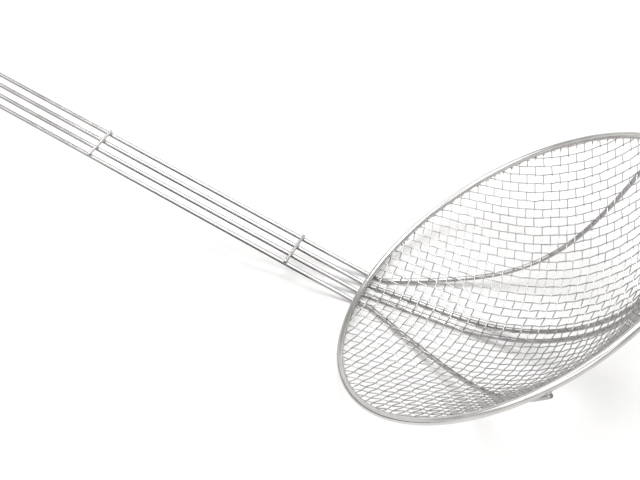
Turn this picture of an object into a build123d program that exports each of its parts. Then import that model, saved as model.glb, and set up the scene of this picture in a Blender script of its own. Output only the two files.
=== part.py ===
"""Round wire-mesh basket skimmer with a four-rod handle. Millimetres, +Z up.

The skimmer lies the way it settles on a table: on the handle side of its bowl, with
the two inner rods flat on the surface and the handle rising clear of it towards -X.
The origin is on that surface, midway along the straight stretch of the inner rods.
"""

from build123d import *
from math import atan2, cos, hypot, radians, sin, sqrt, tan
import os

# Rim and mesh bowl
rim_outside = 203.2  # 8 in across the rim
rim_wire = 3.6
mesh_wire = 0.6
wall_slope = radians(34)  # the bowl's conical wall, from the rim plane
bottom_radius = 100.0  # the bowl's round bottom, at the middle of the mesh

# Handle rods and the ribs that they become below the bowl
rod = 2.5
rod_pitch = 6.85
weld_gap = 0.1  # between the rim's wire and the rods that pass below it
handle_slope = radians(49.5)  # from the rim plane
root_bend = 12.0  # bend radius of the rods at the rim
rod_end = 100.0  # where rods end below the far rim, from the bowl's axis
rib_start = 95.0  # where the outer rods turn outwards, from the bowl's axis
rib_spread = radians(26)  # between a rib and the handle, seen along the bowl's axis
rib_tangents = 6  # straight tangents that lead a rib round the bowl

# Cross bars and hook, by their distance from the rim along the handle
bar_wire = 2.0
bar_length = 22.6
first_bar = 46.0
bar_pitch = 134.0
bar_names = ["front_cross_bar", "middle_cross_bar", "rear_cross_bar"]
inner_rod_length = 318.0
hook_start = 322.0
hook_radius = 14.0
hook_turn = radians(150)

# Derived dimensions
rim_radius = (rim_outside - rim_wire) / 2
rod_drop = (rim_wire + rod) / 2 + weld_gap  # from the rim wire's centre to a rod's
mesh_drop = rod_drop - mesh_wire - rod / 2  # from the rim wire's centre to the mesh
bottom_height = (bottom_radius - mesh_drop - rim_radius * sin(wall_slope)) / cos(wall_slope)
wall_length = rim_radius * cos(wall_slope) - bottom_height * sin(wall_slope)
outer_rod_y = 1.5 * rod_pitch
inner_rod_y = 0.5 * rod_pitch

# The basket's own plane is its rim plane, tilted until the wall by the handle is level
basket = Plane(
    origin=(
        rim_radius * cos(wall_slope) - wall_length / 2,
        0,
        rim_radius * sin(wall_slope) + rod_drop + rod / 2,
    ),
    x_dir=(cos(wall_slope), 0, sin(wall_slope)),
    z_dir=(-sin(wall_slope), 0, cos(wall_slope)),
)
# Upright section through the bowl's axis and the handle: X outwards, Y up the axis
section = Plane(origin=basket.origin, x_dir=basket.x_dir, z_dir=(0, -1, 0))
bowl_axis = Axis(basket.origin, basket.z_dir)


def wall_point(along, drop):
    """Section point this far down the far wall, on a layer this far below the rim wire."""
    x = rim_radius + drop * sin(wall_slope) - along * cos(wall_slope)
    return (x, -drop * cos(wall_slope) - along * sin(wall_slope))


def rod_height(radius):
    """Height over the rim plane of a rod's centre against the conical wall."""
    return (radius - rim_radius) * tan(wall_slope) - rod_drop / cos(wall_slope)


def handle_point(along, raised=0):
    """Section point this far up the handle from its root bend, raised above the rods."""
    middle = (wall_slope + handle_slope) / 2
    root = rod_drop / cos((handle_slope - wall_slope) / 2)
    x = -rim_radius - root * sin(middle) - along * cos(handle_slope)
    z = -root * cos(middle) + along * sin(handle_slope)
    return (x + raised * sin(handle_slope), z + raised * cos(handle_slope))


def hook_point(turn):
    """Section point on the hook's wire, after this much of its turn."""
    x, z = handle_point(hook_start, -hook_radius)
    return (x + hook_radius * sin(handle_slope - turn), z + hook_radius * cos(handle_slope - turn))


def crown_point(turn):
    """Point on the half round at the hook's tip, where the wire is bent double."""
    x, z = hook_point(hook_turn)
    reach = outer_rod_y * cos(turn)
    x -= reach * cos(handle_slope - hook_turn)
    z += reach * sin(handle_slope - hook_turn)
    return (x, outer_rod_y * sin(turn), z)


def rib_route():
    """Corners of a rib's path from its root to its end, as (x, y, z), and bend radii."""
    start = outer_rod_y * sin(rib_spread) - rib_start * cos(rib_spread)
    offset = outer_rod_y * cos(rib_spread) + rib_start * sin(rib_spread)
    end = sqrt(rod_end**2 - offset**2)
    touches = [start + (end - start) * i / (rib_tangents - 1) for i in range(rib_tangents)]
    heights = [rod_height(hypot(s, offset)) for s in touches]
    slopes = [tan(wall_slope) * s / hypot(s, offset) for s in touches]
    corners = [(start, heights[0])]
    radii = []
    for i in range(rib_tangents - 1):
        gap = heights[i + 1] - heights[i] + slopes[i] * touches[i] - slopes[i + 1] * touches[i + 1]
        s = gap / (slopes[i] - slopes[i + 1])
        corners.append((s, heights[i] + slopes[i] * (s - touches[i])))
        turn = atan2(slopes[i + 1], 1) - atan2(slopes[i], 1)
        reach = min(s - touches[i], touches[i + 1] - s)
        radii.append(reach / tan(turn / 2))
    corners.append((end, heights[-1]))
    across = (-sin(rib_spread) * offset, cos(rib_spread) * offset)
    points = [(across[0] + s * cos(rib_spread), across[1] + s * sin(rib_spread), z) for s, z in corners]
    return points, radii


# Rim: a ring of round wire
with BuildPart() as rim:
    with BuildSketch(section):
        with Locations((rim_radius, 0)):
            Circle(rim_wire / 2)
    revolve(axis=bowl_axis)

# Mesh bowl: the space that the woven cloth fills, welded by its edge below the rim
inner_drop = mesh_drop - mesh_wire
outer_drop = mesh_drop + mesh_wire
mesh_edge = sqrt((rim_wire / 2) ** 2 - inner_drop**2)
with BuildPart() as mesh_bowl:
    with BuildSketch(section):
        with BuildLine():
            outer_wall = Line(wall_point(mesh_edge, outer_drop), wall_point(wall_length, outer_drop))
            outer_bottom = (0, bottom_height - bottom_radius - mesh_wire)
            TangentArc(outer_wall @ 1, outer_bottom, tangent=outer_wall % 1)
            inner_wall = Line(wall_point(mesh_edge, inner_drop), wall_point(wall_length, inner_drop))
            inner_bottom = (0, bottom_height - bottom_radius + mesh_wire)
            TangentArc(inner_wall @ 1, inner_bottom, tangent=inner_wall % 1)
            Line(inner_bottom, outer_bottom)
            Line(inner_wall @ 0, outer_wall @ 0)
        make_face()
    revolve(axis=bowl_axis)


def inner_rod(y):
    """A rod down the handle, under the rim, round the bowl and up to the far rim."""
    plane = section.offset(-y)
    with BuildPart() as part:
        with BuildLine(plane) as path:
            FilletPolyline(
                handle_point(inner_rod_length),
                handle_point(0),
                (0, rod_height(0)),
                (rod_end, rod_height(rod_end)),
                radius=[root_bend, bottom_radius + mesh_wire + rod / 2],
            )
        with BuildSketch(Plane(origin=path.line @ 0, z_dir=path.line % 0)):
            Circle(rod / 2)
        sweep()
    return part


left_inner_rod = inner_rod(inner_rod_y)
right_inner_rod = inner_rod(-inner_rod_y)

# Outer wire: one long wire bent double, with its middle bent down as the hook and its
# two ends led outwards below the bowl as ribs
rib_points, rib_radii = rib_route()
with BuildPart() as outer_wire:
    with BuildLine(basket) as path:
        tip_x, tip_z = hook_point(hook_turn)
        mid_x, mid_z = hook_point(hook_turn / 2)
        base_x, base_z = hook_point(0)
        root_x, root_z = handle_point(0)
        tip = (tip_x, outer_rod_y, tip_z)
        base = (base_x, outer_rod_y, base_z)
        ThreePointArc(crown_point(0), crown_point(radians(45)), tip)
        ThreePointArc(tip, (mid_x, outer_rod_y, mid_z), base)
        FilletPolyline(
            base,
            (root_x, outer_rod_y, root_z),
            *rib_points,
            radius=[root_bend, root_bend] + rib_radii,
        )
    with BuildSketch(Plane(origin=path.line @ 0, z_dir=path.line % 0)):
        Circle(rod / 2)
    sweep()
    mirror(about=Plane.XZ)


def cross_bar(along):
    """A short bar across the top of all four rods."""
    with BuildPart() as part:
        with BuildSketch(section):
            with Locations(handle_point(along, (rod + bar_wire) / 2)):
                Circle(bar_wire / 2)
        extrude(amount=bar_length / 2, both=True)
    return part


parts = {
    "rim": rim,
    "mesh_bowl": mesh_bowl,
    "outer_wire": outer_wire,
    "left_inner_rod": left_inner_rod,
    "right_inner_rod": right_inner_rod,
}
for count, name in enumerate(bar_names):
    parts[name] = cross_bar(first_bar + count * bar_pitch)

os.makedirs("parts", exist_ok=True)
for name, piece in parts.items():
    piece.part.label = name
    export_step(piece.part, f"parts/{name}.step")
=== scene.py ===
"""The looks of a round wire-mesh basket skimmer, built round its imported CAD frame.

The bowl's cloth is woven wire by wire, and every rod, bar and weld is a mesh of its own.
Lengths are in metres. Basket coordinates have their origin at the rim's centre, with x
away from the handle, y to the left and z out of the bowl, as the CAD source has them.
"""

from math import atan2, ceil, cos, hypot, pi, radians, sin, sqrt, tan

import bmesh
import bpy
import numpy as np
from mathutils import Matrix, Vector, noise


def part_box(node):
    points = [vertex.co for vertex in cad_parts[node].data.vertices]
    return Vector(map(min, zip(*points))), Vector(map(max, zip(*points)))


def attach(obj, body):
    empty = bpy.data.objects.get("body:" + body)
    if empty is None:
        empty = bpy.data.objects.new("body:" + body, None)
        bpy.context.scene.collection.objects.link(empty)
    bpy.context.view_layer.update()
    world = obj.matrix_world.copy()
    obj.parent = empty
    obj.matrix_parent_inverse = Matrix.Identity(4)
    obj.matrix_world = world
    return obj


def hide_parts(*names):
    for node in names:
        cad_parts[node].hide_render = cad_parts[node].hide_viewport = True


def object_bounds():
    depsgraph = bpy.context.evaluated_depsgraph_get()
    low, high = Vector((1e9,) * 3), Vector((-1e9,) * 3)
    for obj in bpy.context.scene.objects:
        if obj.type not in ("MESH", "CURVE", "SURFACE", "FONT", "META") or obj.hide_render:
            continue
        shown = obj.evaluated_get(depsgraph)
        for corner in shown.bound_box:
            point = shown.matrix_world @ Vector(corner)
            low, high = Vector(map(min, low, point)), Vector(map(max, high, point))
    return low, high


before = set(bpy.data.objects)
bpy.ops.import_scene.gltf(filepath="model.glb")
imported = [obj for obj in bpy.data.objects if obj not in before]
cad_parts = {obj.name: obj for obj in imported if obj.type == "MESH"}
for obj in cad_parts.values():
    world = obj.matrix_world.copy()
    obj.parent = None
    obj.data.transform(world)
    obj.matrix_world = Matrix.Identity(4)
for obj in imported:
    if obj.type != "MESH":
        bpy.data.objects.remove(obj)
cad_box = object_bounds()

# Seeds the cloth's jitter and the welds' sizes. Blender seeds its own noise vectors from the
# clock, so the slight waves and lumps that they give differ from run to run.
chance = np.random.default_rng(7)

# The bowl's cloth and the shape of the basket, as the CAD source has them
MESH_WIRE = 0.0006
MESH_PITCH = 0.00508
RIM_WIRE = 0.0036
WELD_GAP = 0.0001
BOTTOM_RADIUS = 0.100
ROOT_BEND = 0.012
ROD_END = 0.100
RIB_START = 0.095
RIB_SPREAD = radians(26)
INNER_ROD_LENGTH = 0.318
HOOK_START = 0.322
HOOK_RADIUS = 0.014
HOOK_TURN = radians(150)

# How real wire and cloth stray from that: the rim's waves, with where in the noise they are
# taken from, and the cloth's uneven squares
RIM_WAVE = 0.00008
RIM_WAVELENGTH = 0.05
RIM_WAVE_PLACE = Vector((3.7, 1.3, 0))
CLOTH_DRIFT = 0.00045
CLOTH_DRIFT_LENGTH = 0.03
CLOTH_JITTER = 0.00009

# Cut ends of the rods and of the cross bars
ROD_CHAMFER = 0.0003
BAR_CHAMFER = 0.00025

# Weld nuggets: half their length, breadth and height, the size of the lumps on them and how
# high those are, as a share of the nugget's height
BAR_NUGGET = (0.0013, 0.0013, 0.0004)
RIM_NUGGET = (0.0017, 0.0015, 0.0005)
CLOTH_NUGGET = (0.00055, 0.00045, 0.00036)
LUMP_SIZE = 0.0006
LUMP_SHARE = 0.25
# How far down the wall from a cloth wire's end its nugget sits
CLOTH_NUGGET_INSET = 0.0013
# How far from a weld its heat has tinted the steel
HEAT_REACH = 0.0035

# From the frame: the rim's place, its radius and the basket's tilt
rim_low, rim_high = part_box("rim")
rim_centre = (rim_low + rim_high) / 2
rim_half = (rim_high - rim_low) / 2
rim_radius = rim_half.y - RIM_WIRE / 2
wall_slope = atan2(rim_half.z - RIM_WIRE / 2, rim_half.x - RIM_WIRE / 2)
basket = Matrix(
    (
        (cos(wall_slope), 0, -sin(wall_slope), rim_centre.x),
        (0, 1, 0, rim_centre.y),
        (sin(wall_slope), 0, cos(wall_slope), rim_centre.z),
        (0, 0, 0, 1),
    )
)

# From the frame: the rods' thickness and spacing
rod_low, rod_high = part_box("left_inner_rod")
rod_wire = rod_high.y - rod_low.y
inner_rod_y = (rod_high.y + rod_low.y) / 2
outer_rod_y = 3 * inner_rod_y

# From the frame: the cross bars' places, and the handle's slope through them
bar_names = ["front_cross_bar", "middle_cross_bar", "rear_cross_bar"]
bar_boxes = {name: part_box(name) for name in bar_names}
bar_places = {name: basket.inverted() @ ((low + high) / 2) for name, (low, high) in bar_boxes.items()}
bar_wire = bar_boxes[bar_names[0]][1].x - bar_boxes[bar_names[0]][0].x
bar_half = bar_boxes[bar_names[0]][1].y
handle_run = bar_places[bar_names[-1]] - bar_places[bar_names[0]]
handle_slope = atan2(handle_run.z, -handle_run.x)

# Layers below the rim's wire, measured square to the wall
rod_drop = (RIM_WIRE + rod_wire) / 2 + WELD_GAP
mesh_drop = rod_drop - MESH_WIRE - rod_wire / 2
bottom_height = (BOTTOM_RADIUS - mesh_drop - rim_radius * sin(wall_slope)) / cos(wall_slope)
cloth_edge = rim_radius + mesh_drop * sin(wall_slope)


# ---------------------------------------------------------------- lines of the wires


def wall_height(radius, drop):
    """Height over the rim plane of a layer of the conical wall, this far from the axis."""
    return (radius - rim_radius) * tan(wall_slope) - drop / cos(wall_slope)


def layer_height(radius, drop):
    """Height over the rim plane of a layer of the bowl, this far from its axis."""
    round_radius = BOTTOM_RADIUS + drop - mesh_drop
    if radius < round_radius * sin(wall_slope):
        return bottom_height - sqrt(round_radius**2 - radius**2)
    return wall_height(radius, drop)


def handle_point(along, y, raised=0.0):
    """Basket point this far up the handle from its root bend, raised above the rods."""
    middle = (wall_slope + handle_slope) / 2
    root = rod_drop / cos((handle_slope - wall_slope) / 2)
    x = -rim_radius - root * sin(middle) - along * cos(handle_slope)
    z = -root * cos(middle) + along * sin(handle_slope)
    return Vector((x + raised * sin(handle_slope), y, z + raised * cos(handle_slope)))


def hook_point(turn):
    """Basket point on the hook's wire, after this much of its turn."""
    centre = handle_point(HOOK_START, outer_rod_y, -HOOK_RADIUS)
    slope = handle_slope - turn
    return centre + Vector((sin(slope), 0, cos(slope))) * HOOK_RADIUS


def crown_point(turn):
    """Basket point on the half round at the hook's tip, where the wire is bent double."""
    tip = hook_point(HOOK_TURN)
    slope = handle_slope - HOOK_TURN
    reach = outer_rod_y * cos(turn)
    return Vector((tip.x - reach * cos(slope), outer_rod_y * sin(turn), tip.z + reach * sin(slope)))


def rounded(corners, radii, step=radians(3)):
    """Points of a path with straight runs and a round bend at each inner corner."""
    points = [corners[0]]
    for before, corner, after, radius in zip(corners, corners[1:], corners[2:], radii):
        back = (before - corner).normalized()
        onward = (after - corner).normalized()
        turn = pi - back.angle(onward)
        centre = corner + (back + onward).normalized() * radius / cos(turn / 2)
        first = corner + back * radius * tan(turn / 2) - centre
        last = corner + onward * radius * tan(turn / 2) - centre
        count = max(2, ceil(turn / step))
        for i in range(count + 1):
            there = turn * i / count
            points.append(centre + (first * sin(turn - there) + last * sin(there)) / sin(turn))
    points.append(corners[-1])
    return points


def spaced(points, gap=0.004):
    """The same path, with no two points further apart than the gap."""
    filled = [points[0]]
    for a, b in zip(points, points[1:]):
        count = max(1, ceil((b - a).length / gap))
        filled += [a.lerp(b, i / count) for i in range(1, count + 1)]
    return filled


def inner_rod_path(y):
    """A rod down the handle, under the rim, round the bowl and up to the far rim."""
    corners = [
        handle_point(INNER_ROD_LENGTH, y),
        handle_point(0, y),
        Vector((0, y, wall_height(0, rod_drop))),
        Vector((ROD_END, y, wall_height(ROD_END, rod_drop))),
    ]
    return spaced(rounded(corners, [ROOT_BEND, BOTTOM_RADIUS + rod_drop - mesh_drop]))


def rib_path(count=60):
    """A rib's path below the bowl, which is straight as seen along the bowl's axis."""
    start = outer_rod_y * sin(RIB_SPREAD) - RIB_START * cos(RIB_SPREAD)
    offset = outer_rod_y * cos(RIB_SPREAD) + RIB_START * sin(RIB_SPREAD)
    end = sqrt(ROD_END**2 - offset**2)
    points = []
    for i in range(count + 1):
        s = start + (end - start) * i / count
        x = s * cos(RIB_SPREAD) - offset * sin(RIB_SPREAD)
        y = s * sin(RIB_SPREAD) + offset * cos(RIB_SPREAD)
        points.append(Vector((x, y, layer_height(hypot(s, offset), rod_drop))))
    return points


def outer_wire_path():
    """The long wire, from one rib's end up the handle, round the hook and back again."""
    rib = rib_path()
    clear = 3  # rib points taken up by the bend where the rib turns outwards
    crown = [crown_point(pi / 2 * i / 10) for i in range(10)]
    hook = [hook_point(HOOK_TURN * i / 30) for i in range(30, 0, -1)]
    corners = [hook_point(0), handle_point(0, outer_rod_y), rib[0], rib[clear]]
    lead = rounded(corners, [ROOT_BEND, ROOT_BEND])
    half = crown + hook + lead + rib[clear + 1 :]
    other = [Vector((p.x, -p.y, p.z)) for p in reversed(half[1:])]
    return spaced(other + half)


# ---------------------------------------------------------------- meshes


def frames_along(path, closed):
    """Two unit vectors square to the path at each point, with no twist between points."""
    path = np.asarray(path)
    if closed:
        tangents = np.roll(path, -1, 0) - np.roll(path, 1, 0)
    else:
        tangents = np.gradient(path, axis=0)
    tangents /= np.linalg.norm(tangents, axis=1)[:, None]
    steep = abs(tangents[0, 2]) >= 0.9
    normal = np.array((0.0, 1.0, 0.0) if steep else (0.0, 0.0, 1.0))
    normals = np.empty_like(path)
    for i, tangent in enumerate(tangents):
        normal = normal - tangent * (normal @ tangent)
        normal /= np.linalg.norm(normal)
        normals[i] = normal
    return normals, np.cross(tangents, normals), tangents


class WireMesh:
    """Collects tubes into the arrays of one mesh, with lengths along each wire as UVs."""

    def __init__(self):
        self.points = []
        self.faces = []
        self.uvs = []
        self.count = 0

    def tube(self, path, radius, sides, closed=False, chamfer=0.0):
        """Adds a round tube along the path. Its open ends are flat, with a chamfer."""
        path = np.array([tuple(p) for p in path])
        normals, sideways, tangents = frames_along(path, closed)
        radii = np.full(len(path), radius)
        if not closed:
            path, normals, sideways, radii = self.ends(
                path, normals, sideways, tangents, radii, chamfer
            )
        angles = np.arange(sides) * 2 * pi / sides
        spokes = (
            np.cos(angles)[None, :, None] * normals[:, None]
            + np.sin(angles)[None, :, None] * sideways[:, None]
        )
        rings = path[:, None] + spokes * radii[:, None, None]
        steps = np.linalg.norm(np.diff(path, axis=0), axis=1)
        lengths = np.concatenate(([0.0], np.cumsum(steps)))
        if closed:
            lengths = np.append(lengths, lengths[-1] + np.linalg.norm(path[0] - path[-1]))
        ring_count = len(path) if closed else len(path) - 1
        base = self.count
        for k in range(ring_count):
            below = base + k * sides
            above = base + (k + 1) % len(path) * sides
            for s in range(sides):
                t = (s + 1) % sides
                self.faces.append((below + s, below + t, above + t, above + s))
                self.uvs += [
                    (s / sides, lengths[k]),
                    ((s + 1) / sides, lengths[k]),
                    ((s + 1) / sides, lengths[k + 1]),
                    (s / sides, lengths[k + 1]),
                ]
        if not closed:
            last = base + (len(path) - 1) * sides
            self.faces.append(tuple(base + s for s in reversed(range(sides))))
            self.faces.append(tuple(last + s for s in range(sides)))
            self.uvs += [(0.5, 0.0)] * sides + [(0.5, lengths[-1])] * sides
        self.points.append(rings.reshape(-1, 3))
        self.count += len(path) * sides

    @staticmethod
    def ends(path, normals, sideways, tangents, radii, chamfer):
        """The rings with two more at each end, where a chamfer narrows the tube."""
        if not chamfer:
            return path, normals, sideways, radii
        inset = chamfer * 0.4
        firsts = [path[0], path[0] + tangents[0] * inset, path[0] + tangents[0] * chamfer]
        lasts = [path[-1] - tangents[-1] * chamfer, path[-1] - tangents[-1] * inset, path[-1]]
        narrow = [radii[0] - chamfer, radii[0] - inset * 0.5, radii[0]]
        path = np.concatenate((firsts, path[1:-1], lasts))
        normals = np.concatenate((normals[:1].repeat(3, 0), normals[1:-1], normals[-1:].repeat(3, 0)))
        sideways = np.concatenate(
            (sideways[:1].repeat(3, 0), sideways[1:-1], sideways[-1:].repeat(3, 0))
        )
        radii = np.concatenate((narrow, radii[1:-1], narrow[::-1]))
        return path, normals, sideways, radii

    def build(self, name):
        """The Blender object, in basket coordinates turned into the frame's."""
        mesh = bpy.data.meshes.new(name)
        points = np.concatenate(self.points)
        mesh.from_pydata(points.tolist(), [], self.faces)
        layer = mesh.uv_layers.new(name="wire")
        layer.data.foreach_set("uv", np.array(self.uvs, np.float32).ravel())
        mesh.transform(basket)
        mesh.shade_smooth()
        piece = bpy.data.objects.new(name, mesh)
        bpy.context.scene.collection.objects.link(piece)
        return piece


# ---------------------------------------------------------------- woven cloth


def on_bowl(x, y):
    """Basket point on the cloth's middle surface, and that surface's slopes along x and y."""
    radius = max(hypot(x, y), 1e-9)
    if radius < BOTTOM_RADIUS * sin(wall_slope):
        slope = radius / sqrt(BOTTOM_RADIUS**2 - radius**2)
    else:
        slope = tan(wall_slope)
    point = np.array((x, y, layer_height(radius, mesh_drop)))
    return point, slope * x / radius, slope * y / radius


def out_of_bowl(x, y):
    """Unit vector square to the cloth, towards the inside of the bowl."""
    _, along_x, along_y = on_bowl(x, y)
    normal = np.array((-along_x, -along_y, 1.0))
    return normal / np.linalg.norm(normal)


def radius_at(length):
    """Distance from the bowl's axis after this length along the cloth from its middle."""
    round_length = BOTTOM_RADIUS * wall_slope
    if length < round_length:
        return BOTTOM_RADIUS * sin(length / BOTTOM_RADIUS)
    return BOTTOM_RADIUS * sin(wall_slope) + (length - round_length) * cos(wall_slope)


def next_crossing(a, b, x, y):
    """The point of the bowl that is one pitch from a and from b, found from a first guess."""
    for _ in range(8):
        point, along_x, along_y = on_bowl(x, y)
        misses = [(point - p) @ (point - p) - MESH_PITCH**2 for p in (a, b)]
        turns = [
            [2 * (point - p) @ (1, 0, along_x), 2 * (point - p) @ (0, 1, along_y)] for p in (a, b)
        ]
        x, y = np.array((x, y)) - np.linalg.solve(turns, misses)
    return on_bowl(x, y)[0]


def draped_net(count):
    """Crossings of a square cloth pressed into the bowl: its wires keep their length
    between crossings, so its squares lean into diamonds between the two middle wires."""
    quarter = np.zeros((count + 1, count + 1, 3))
    for i in range(count + 1):
        radius = radius_at(i * MESH_PITCH)
        quarter[i, 0] = on_bowl(radius, 0)[0]
        quarter[0, i] = on_bowl(0, radius)[0]
    for i in range(1, count + 1):
        for j in range(1, count + 1):
            a, b = quarter[i - 1, j], quarter[i, j - 1]
            guess = a + b - quarter[i - 1, j - 1]
            quarter[i, j] = next_crossing(a, b, guess[0], guess[1])
    net = np.zeros((2 * count + 1, 2 * count + 1, 2))
    for i in range(-count, count + 1):
        for j in range(-count, count + 1):
            x, y, _ = quarter[abs(i), abs(j)]
            drift = noise.noise_vector(Vector((x, y, 0)) / CLOTH_DRIFT_LENGTH) * CLOTH_DRIFT
            x = np.copysign(x, i) + drift.x + chance.normal(0, CLOTH_JITTER)
            y = np.copysign(y, j) + drift.y + chance.normal(0, CLOTH_JITTER)
            net[i + count, j + count] = (x, y)
    return net


# Where a wire's path has points between one crossing and the next, as shares of the way
CRIMP_SHARES = (0.0, 0.13, 0.31, 0.5, 0.69, 0.87)
# A wire with fewer points than this inside the rim is left out of the cloth
FEWEST_POINTS = 12
# How much wider than the rim the net is made, so that it reaches past it everywhere
NET_MARGIN = 1.3


def crimp(share):
    """How far over or under the cloth's middle a wire is: 1 at one crossing, -1 at the next."""
    return 0.15 * cos(pi * share) + 0.85 * (1 - 2 * share)


def woven_path(crossings, over):
    """A wire's path through its crossings, over the first if over is 1 and then in turn."""
    path = []
    for k in range(1, len(crossings) - 2):
        before, start, end, after = crossings[k - 1 : k + 3]
        for share in CRIMP_SHARES:
            bend_in = share * (1 - share) ** 2 * (end - before) / 2
            bend_out = share**2 * (1 - share) * (after - start) / 2
            smooth = share**2 * (3 - 2 * share)
            x, y = start + (end - start) * smooth + bend_in - bend_out
            lift = over * (-1) ** k * crimp(share) * MESH_WIRE / 2
            path.append(on_bowl(x, y)[0] + out_of_bowl(x, y) * lift)
    return np.array(path)


def trimmed(path, edge):
    """The part of the path inside this radius, cut square at both ends, or None."""
    radii = np.hypot(path[:, 0], path[:, 1])
    inside = np.nonzero(radii < edge)[0]
    if len(inside) < FEWEST_POINTS:
        return None
    first, last = inside[0], inside[-1]
    head = cut_point(path[first - 1], path[first], edge)
    tail = cut_point(path[last + 1], path[last], edge)
    return np.concatenate(([head], path[first : last + 1], [tail]))


def cut_point(outside, inside, edge):
    """Where the run between these two points crosses this radius."""
    out_radius, in_radius = hypot(*outside[:2]), hypot(*inside[:2])
    return inside + (outside - inside) * (edge - in_radius) / (out_radius - in_radius)


def woven_cloth():
    """The wires along and across the handle's direction, each set as one piece, and the
    points where they reach the rim."""
    count = ceil(cloth_edge / MESH_PITCH * NET_MARGIN)
    net = draped_net(count)
    lengthwise, crosswise = WireMesh(), WireMesh()
    ends = []
    for k in range(2 * count + 1):
        over = (-1) ** k
        for wires, crossings, side in ((lengthwise, net[:, k], over), (crosswise, net[k], -over)):
            path = trimmed(woven_path(crossings, side), cloth_edge)
            if path is not None:
                wires.tube(path, MESH_WIRE / 2, 8)
                ends += [path[0], path[-1]]
    return lengthwise.build("lengthwise_mesh_wires"), crosswise.build("crosswise_mesh_wires"), ends


# ---------------------------------------------------------------- welds


def add_nugget(bm, place, along, out, size):
    """A lump of weld at a basket point: size is its radii along, across and out of it."""
    across = out.cross(along).normalized()
    turn = Matrix((along.normalized(), across, out.normalized())).transposed().to_4x4()
    matrix = basket @ Matrix.Translation(place) @ turn @ Matrix.Diagonal((*size, 1))
    made = bmesh.ops.create_icosphere(bm, subdivisions=2, radius=1, matrix=matrix)
    for vert in made["verts"]:
        vert.co += noise.noise_vector(vert.co / LUMP_SIZE) * min(size) * LUMP_SHARE


def weld_piece(name, nuggets):
    """All these nuggets as one piece."""
    bm = bmesh.new()
    for nugget in nuggets:
        add_nugget(bm, *nugget)
    mesh = bpy.data.meshes.new(name)
    bm.to_mesh(mesh)
    bm.free()
    mesh.shade_smooth()
    piece = bpy.data.objects.new(name, mesh)
    bpy.context.scene.collection.objects.link(piece)
    return piece


def bar_nuggets():
    """Where the cross bars sit on the rods."""
    up_handle = Vector((-cos(handle_slope), 0, sin(handle_slope)))
    off_handle = Vector((sin(handle_slope), 0, cos(handle_slope)))
    for place in bar_places.values():
        for step in (-3, -1, 1, 3):
            contact = place - off_handle * bar_wire / 2 + Vector((0, step * inner_rod_y, 0))
            yield contact, up_handle, off_handle, BAR_NUGGET


def rim_contact(x, y, slope):
    """Where a rod touches the rim at this azimuth: the point, and the line between them."""
    outwards = Vector((x, y, 0)).normalized()
    off_rim = outwards * sin(slope) - Vector((0, 0, cos(slope)))
    return outwards * rim_radius + off_rim * (RIM_WIRE + WELD_GAP) / 2, off_rim


def rim_nuggets():
    """Where the rods pass below the rim, and where they end below its far side."""
    root_slope = (wall_slope + handle_slope) / 2
    rib_end = rib_path()[-1]
    spots = [(-rim_radius, step * inner_rod_y, root_slope) for step in (-3, -1, 1, 3)]
    spots += [(rim_radius, side * inner_rod_y, wall_slope) for side in (-1, 1)]
    spots += [(rib_end.x, side * rib_end.y, wall_slope) for side in (-1, 1)]
    for x, y, slope in spots:
        place, off_rim = rim_contact(x, y, slope)
        round_rim = Vector((-y, x, 0)).normalized()
        yield place, round_rim, off_rim, RIM_NUGGET


def cloth_nuggets(ends):
    """Where each wire of the cloth is fused to the rim."""
    for end in ends:
        outwards = Vector((end[0], end[1], 0)).normalized()
        down_wall = -outwards * cos(wall_slope) - Vector((0, 0, sin(wall_slope)))
        off_wall = Vector((0, 0, cos(wall_slope))) - outwards * sin(wall_slope)
        size = Vector(CLOTH_NUGGET) * chance.uniform(0.85, 1.25)
        yield Vector(end) + down_wall * CLOTH_NUGGET_INSET, down_wall, off_wall, size


# ---------------------------------------------------------------- materials

# The tints that steel takes near a weld, from cool to hot
TARNISH = [
    (0.15, (1, 1, 1)),
    (0.50, (0.90, 0.79, 0.64)),
    (0.75, (0.72, 0.56, 0.50)),
    (1.00, (0.50, 0.47, 0.50)),
]


def node(tree, kind, x=0, y=0, **settings):
    """A new shader node at this place in the tree, with these settings."""
    made = tree.nodes.new("ShaderNode" + kind)
    made.location = (x, y)
    for name, value in settings.items():
        setattr(made, name, value)
    return made


def drawn_streaks(tree, streak_scale):
    """Noise drawn out along the wire. The UVs give turns round it and metres along it."""
    wire = node(tree, "UVMap", -1400, -200, uv_map="wire")
    stretch = node(tree, "Mapping", -1200, -200)
    stretch.inputs["Scale"].default_value = (*streak_scale, 1)
    tree.links.new(wire.outputs["UV"], stretch.inputs["Vector"])
    streaks = node(tree, "TexNoise", -1000, -200)
    streaks.inputs["Scale"].default_value = 1.0
    streaks.inputs["Detail"].default_value = 5.0
    streaks.inputs["Roughness"].default_value = 0.65
    tree.links.new(stretch.outputs["Vector"], streaks.inputs["Vector"])
    return streaks.outputs["Fac"]


def uneven_polish(tree, streaks):
    """The streaks mixed with patches about a centimetre wide."""
    place = node(tree, "TexCoord", -1400, 200)
    patches = node(tree, "TexNoise", -1000, 200)
    patches.inputs["Scale"].default_value = 90.0
    patches.inputs["Detail"].default_value = 3.0
    tree.links.new(place.outputs["Object"], patches.inputs["Vector"])
    halved = node(tree, "Math", -960, 60, operation="MULTIPLY")
    halved.inputs[1].default_value = 0.55
    tree.links.new(patches.outputs["Fac"], halved.inputs[0])
    blend = node(tree, "Math", -880, 60, operation="MULTIPLY_ADD")
    blend.inputs[1].default_value = 0.45
    tree.links.new(streaks, blend.inputs[0])
    tree.links.new(halved.outputs[0], blend.inputs[2])
    return blend.outputs[0]


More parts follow.
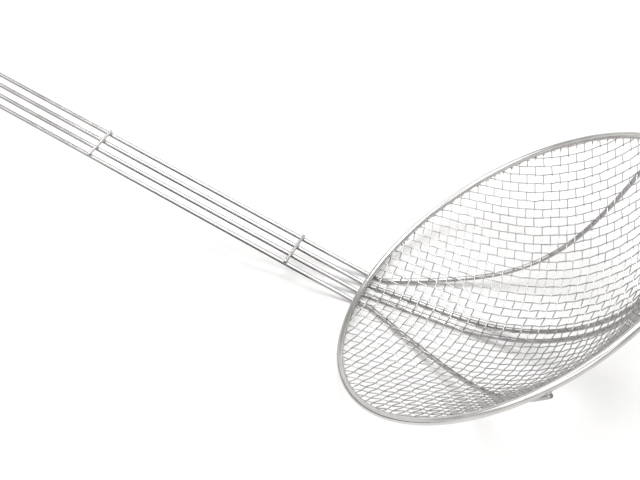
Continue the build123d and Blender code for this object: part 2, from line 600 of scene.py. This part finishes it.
def colour_ramp(tree, stops, x, y):
    """A ramp through these stops, each a position and a colour."""
    made = node(tree, "ValToRGB", x, y)
    elements = made.color_ramp.elements
    elements.remove(elements[1])
    elements[0].position = stops[0][0]
    elements[0].color = (*stops[0][1], 1)
    for position, colour in stops[1:]:
        elements.new(position).color = (*colour, 1)
    return made


def steel(name, dark, light, dull, streak_scale, streak_depth):
    """Drawn stainless wire: streaks along its length, uneven polish and tarnish at welds.

    dark and light are the greys that it varies between, and dull its lowest and highest
    roughness. streak_scale is how many streaks go round the wire, and how many a metre.
    """
    material = bpy.data.materials.new(name)
    material.use_nodes = True
    tree = material.node_tree
    link = tree.links.new
    shader = tree.nodes["Principled BSDF"]
    shader.inputs["Metallic"].default_value = 1.0
    streaks = drawn_streaks(tree, streak_scale)
    polish = uneven_polish(tree, streaks)
    heat = node(tree, "Attribute", -1000, 560, attribute_name="heat")

    greys = colour_ramp(tree, [(0.32, dark), (0.68, light)], -760, 300)
    link(polish, greys.inputs["Fac"])
    tarnish = colour_ramp(tree, TARNISH, -760, 600)
    link(heat.outputs["Fac"], tarnish.inputs["Fac"])
    tinted = node(tree, "Mix", -480, 400, data_type="RGBA", blend_type="MULTIPLY")
    tinted.inputs["Factor"].default_value = 1.0
    link(greys.outputs["Color"], tinted.inputs[6])
    link(tarnish.outputs["Color"], tinted.inputs[7])
    link(tinted.outputs[2], shader.inputs["Base Color"])

    dullness = node(tree, "MapRange", -600, -60)
    dullness.inputs["From Min"].default_value = 0.3
    dullness.inputs["From Max"].default_value = 0.72
    dullness.inputs["To Min"].default_value = dull[0]
    dullness.inputs["To Max"].default_value = dull[1]
    link(polish, dullness.inputs["Value"])
    scaled = node(tree, "Math", -400, -60, operation="MULTIPLY_ADD")
    scaled.inputs[1].default_value = 0.22
    link(heat.outputs["Fac"], scaled.inputs[0])
    link(dullness.outputs["Result"], scaled.inputs[2])
    link(scaled.outputs[0], shader.inputs["Roughness"])

    bump = node(tree, "Bump", -400, -300)
    bump.inputs["Strength"].default_value = 0.5
    bump.inputs["Distance"].default_value = streak_depth
    link(streaks, bump.inputs["Height"])
    link(bump.outputs["Normal"], shader.inputs["Normal"])
    return material


def heated(piece, spots, reach):
    """Stores on each point of a piece how near it lies to a weld, from 0 to 1."""
    mesh = piece.data
    points = np.zeros(len(mesh.vertices) * 3, np.float32)
    mesh.vertices.foreach_get("co", points)
    points = points.reshape(-1, 3)
    heat = np.zeros(len(points), np.float32)
    for spot in spots:
        near = np.exp(-((points - np.array(spot)) ** 2).sum(1) / reach**2)
        heat = np.maximum(heat, near)
    mesh.attributes.new("heat", "FLOAT", "POINT").data.foreach_set("value", heat)


# ---------------------------------------------------------------- the pieces


def wire_piece(name, path, radius, sides, closed=False, chamfer=0.0):
    """A piece that is one round wire along the path."""
    wires = WireMesh()
    wires.tube(path, radius, sides, closed, chamfer)
    return wires.build(name)


def rim_path(count=240):
    """The circle of the rim's wire, with the slight waves that bending leaves in it."""
    spokes = [2 * pi * i / count for i in range(count)]
    circle = [Vector((rim_radius * cos(a), rim_radius * sin(a), 0)) for a in spokes]
    return [p + noise.noise_vector(p / RIM_WAVELENGTH + RIM_WAVE_PLACE) * RIM_WAVE for p in circle]


def bar_path(name):
    """A cross bar's line, from its right end to its left."""
    place = bar_places[name]
    return spaced([Vector((place.x, y, place.z)) for y in (-bar_half, bar_half)], 0.001)


rim_steel = steel("rim_steel", (0.66, 0.65, 0.64), (0.84, 0.83, 0.82), (0.14, 0.26), (30, 90), 0.00001)
rod_steel = steel("rod_steel", (0.41, 0.403, 0.4), (0.58, 0.571, 0.567), (0.14, 0.26), (22, 90), 0.00001)
bar_steel = steel("bar_steel", (0.70, 0.69, 0.684), (0.86, 0.85, 0.845), (0.18, 0.32), (18, 120), 0.00002)
mesh_steel = steel("mesh_steel", (0.45, 0.444, 0.44), (0.63, 0.622, 0.615), (0.16, 0.28), (8, 400), 0.00001)
weld_steel = steel("weld_steel", (0.42, 0.41, 0.405), (0.62, 0.61, 0.60), (0.35, 0.55), (9, 900), 0.00004)

rim = wire_piece("rim_ring", rim_path(), RIM_WIRE / 2, 28, closed=True)
rod = {"radius": rod_wire / 2, "sides": 20, "chamfer": ROD_CHAMFER}
outer = wire_piece("outer_handle_wire", outer_wire_path(), **rod)
left = wire_piece("left_handle_rod", inner_rod_path(inner_rod_y), **rod)
right = wire_piece("right_handle_rod", inner_rod_path(-inner_rod_y), **rod)
bar = {"radius": bar_wire / 2, "sides": 18, "chamfer": BAR_CHAMFER}
bars = [wire_piece(f"{name}_rod", bar_path(name), **bar) for name in bar_names]
lengthwise, crosswise, cloth_ends = woven_cloth()
bar_welds = weld_piece("cross_bar_welds", bar_nuggets())
rim_welds = weld_piece("rim_welds", rim_nuggets())
cloth_welds = weld_piece("mesh_edge_welds", cloth_nuggets(cloth_ends))

bar_spots = [basket @ nugget[0] for nugget in bar_nuggets()]
rim_spots = [basket @ nugget[0] for nugget in rim_nuggets()]
# Each piece, its material, its colour slot, the CAD nodes that it replaces, and its welds
finishes = [
    (rim, rim_steel, "rim_steel", ["rim"], rim_spots),
    (outer, rod_steel, "rod_steel", ["outer_wire"], bar_spots + rim_spots),
    (left, rod_steel, "rod_steel", ["left_inner_rod"], bar_spots + rim_spots),
    (right, rod_steel, "rod_steel", ["right_inner_rod"], bar_spots + rim_spots),
    (lengthwise, mesh_steel, "mesh_steel", ["mesh_bowl"], rim_spots),
    (crosswise, mesh_steel, "mesh_steel", ["mesh_bowl"], rim_spots),
    (bar_welds, weld_steel, "bar_steel", [], bar_spots),
    (rim_welds, weld_steel, "rim_steel", [], rim_spots),
    (cloth_welds, weld_steel, "rim_steel", [], []),
]
for piece, name in zip(bars, bar_names):
    finishes.append((piece, bar_steel, "bar_steel", [name], bar_spots))
for piece, material, slot, nodes, spots in finishes:
    piece.data.materials.append(material)
    heated(piece, spots, HEAT_REACH)
    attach(piece, "root")
    if nodes:
        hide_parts(*nodes)


# ---------------------------------------------------------------- the stage

FLOOR_REACH = 4.0
FLOOR_WHITE = (0.92, 0.92, 0.915)
FLOOR_IN_STEEL = (0.66, 0.65, 0.645)
FLAG_LOW = (-0.24, -0.50)
FLAG_HIGH = (-0.06, 0.0)
FLAG_LIFT = 0.0005
FLAG_BLACK = (0.03, 0.03, 0.03)
ROOM_WHITE = (0.97, 0.97, 0.97)
# What the steel sees of the room, by how far up it looks: 0 is level and 1 straight up
ROOM_IN_STEEL = [
    (0.20, (0.85, 0.84, 0.83)),
    (0.32, (0.46, 0.454, 0.45)),
    (0.60, (0.36, 0.356, 0.352)),
    (0.72, (0.50, 0.495, 0.49)),
]
# Each soft light's name, place, width and length, and power. All of them face the origin.
LIGHTS = [
    ("overhead", (0, 0.25, 1.3), (0.75, 0.75), 12.5),
    ("left", (-0.8, 0, 1.0), (1.3, 0.65), 3.7),
    ("front", (0, -0.8, 1.0), (1.6, 0.65), 4.0),
]
CAMERA_PLACE = Vector((0.1543, -0.3202, 0.4340))
CAMERA_AIM = Vector((-0.0484, -0.0073, 0.0400))
CAMERA_ROLL = radians(-6.44)
CAMERA_LENS = 56.25


def add_card(name, low, high, height, colour):
    """A level sheet of matt card between two corners, each an (x, y), and its shader tree."""
    mesh = bpy.data.meshes.new(name)
    corners = [(low[0], low[1]), (high[0], low[1]), (high[0], high[1]), (low[0], high[1])]
    mesh.from_pydata([(x, y, height) for x, y in corners], [], [(0, 1, 2, 3)])
    card = bpy.data.objects.new(name, mesh)
    bpy.context.scene.collection.objects.link(card)
    material = bpy.data.materials.new(name + "_card")
    material.use_nodes = True
    shader = material.node_tree.nodes["Principled BSDF"]
    shader.inputs["Base Color"].default_value = (*colour, 1)
    shader.inputs["Roughness"].default_value = 0.9
    mesh.materials.append(material)
    return card, material.node_tree


def switched(tree, ray_kind, colour):
    """A mix that gives this kind of ray this colour, and all others that of its input 6."""
    ray = node(tree, "LightPath", -700, 300)
    mix = node(tree, "Mix", -300, 0, data_type="RGBA")
    mix.inputs[7].default_value = (*colour, 1)
    tree.links.new(ray.outputs[ray_kind], mix.inputs["Factor"])
    return mix


def add_floor():
    """A white floor, which the steel reflects a little greyer than the camera sees it."""
    low, high = (-FLOOR_REACH, -FLOOR_REACH), (FLOOR_REACH, FLOOR_REACH)
    _, tree = add_card("floor", low, high, cad_box[0].z, FLOOR_WHITE)
    paper = switched(tree, "Is Glossy Ray", FLOOR_IN_STEEL)
    paper.inputs[6].default_value = (*FLOOR_WHITE, 1)
    tree.links.new(paper.outputs[2], tree.nodes["Principled BSDF"].inputs["Base Color"])


def add_flag():
    """A dark card on the floor in front of the handle, which shows only in the steel."""
    flag, _ = add_card("flag", FLAG_LOW, FLAG_HIGH, cad_box[0].z + FLAG_LIFT, FLAG_BLACK)
    flag.visible_camera = False
    flag.visible_diffuse = False
    flag.visible_shadow = False


def add_world():
    """A white room to the camera. What the steel reflects of it is uneven: bright walls low
    down, a dim band above them and a paler ceiling."""
    world = bpy.data.worlds.new("room")
    bpy.context.scene.world = world
    world.use_nodes = True
    tree = world.node_tree
    place = node(tree, "TexCoord", -1100, 0)
    height = node(tree, "SeparateXYZ", -900, 0)
    tree.links.new(place.outputs["Generated"], height.inputs["Vector"])
    walls = colour_ramp(tree, ROOM_IN_STEEL, -700, 0)
    tree.links.new(height.outputs["Z"], walls.inputs["Fac"])
    seen = switched(tree, "Is Camera Ray", ROOM_WHITE)
    tree.links.new(walls.outputs["Color"], seen.inputs[6])
    tree.links.new(seen.outputs[2], tree.nodes["Background"].inputs["Color"])


def add_soft_light(name, place, size, power):
    """A rectangular light that faces the origin."""
    light = bpy.data.lights.new(name, "AREA")
    light.shape = "RECTANGLE"
    light.size, light.size_y = size
    light.energy = power
    lamp = bpy.data.objects.new(name, light)
    lamp.location = place
    lamp.rotation_euler = (-Vector(place)).to_track_quat("-Z", "Y").to_euler()
    bpy.context.scene.collection.objects.link(lamp)


def add_camera():
    """The camera, high up on the bowl's right and turned a little about its own axis."""
    data = bpy.data.cameras.new("camera")
    data.lens = CAMERA_LENS
    data.clip_start = 0.01
    camera = bpy.data.objects.new("camera", data)
    facing = (CAMERA_AIM - CAMERA_PLACE).to_track_quat("-Z", "Y").to_matrix().to_4x4()
    camera.matrix_world = Matrix.Translation(CAMERA_PLACE) @ facing @ Matrix.Rotation(CAMERA_ROLL, 4, "Z")
    bpy.context.scene.collection.objects.link(camera)
    bpy.context.scene.camera = camera


add_floor()
add_flag()
add_world()
for soft_light in LIGHTS:
    add_soft_light(*soft_light)
add_camera()
bpy.context.scene.view_settings.view_transform = "Standard"
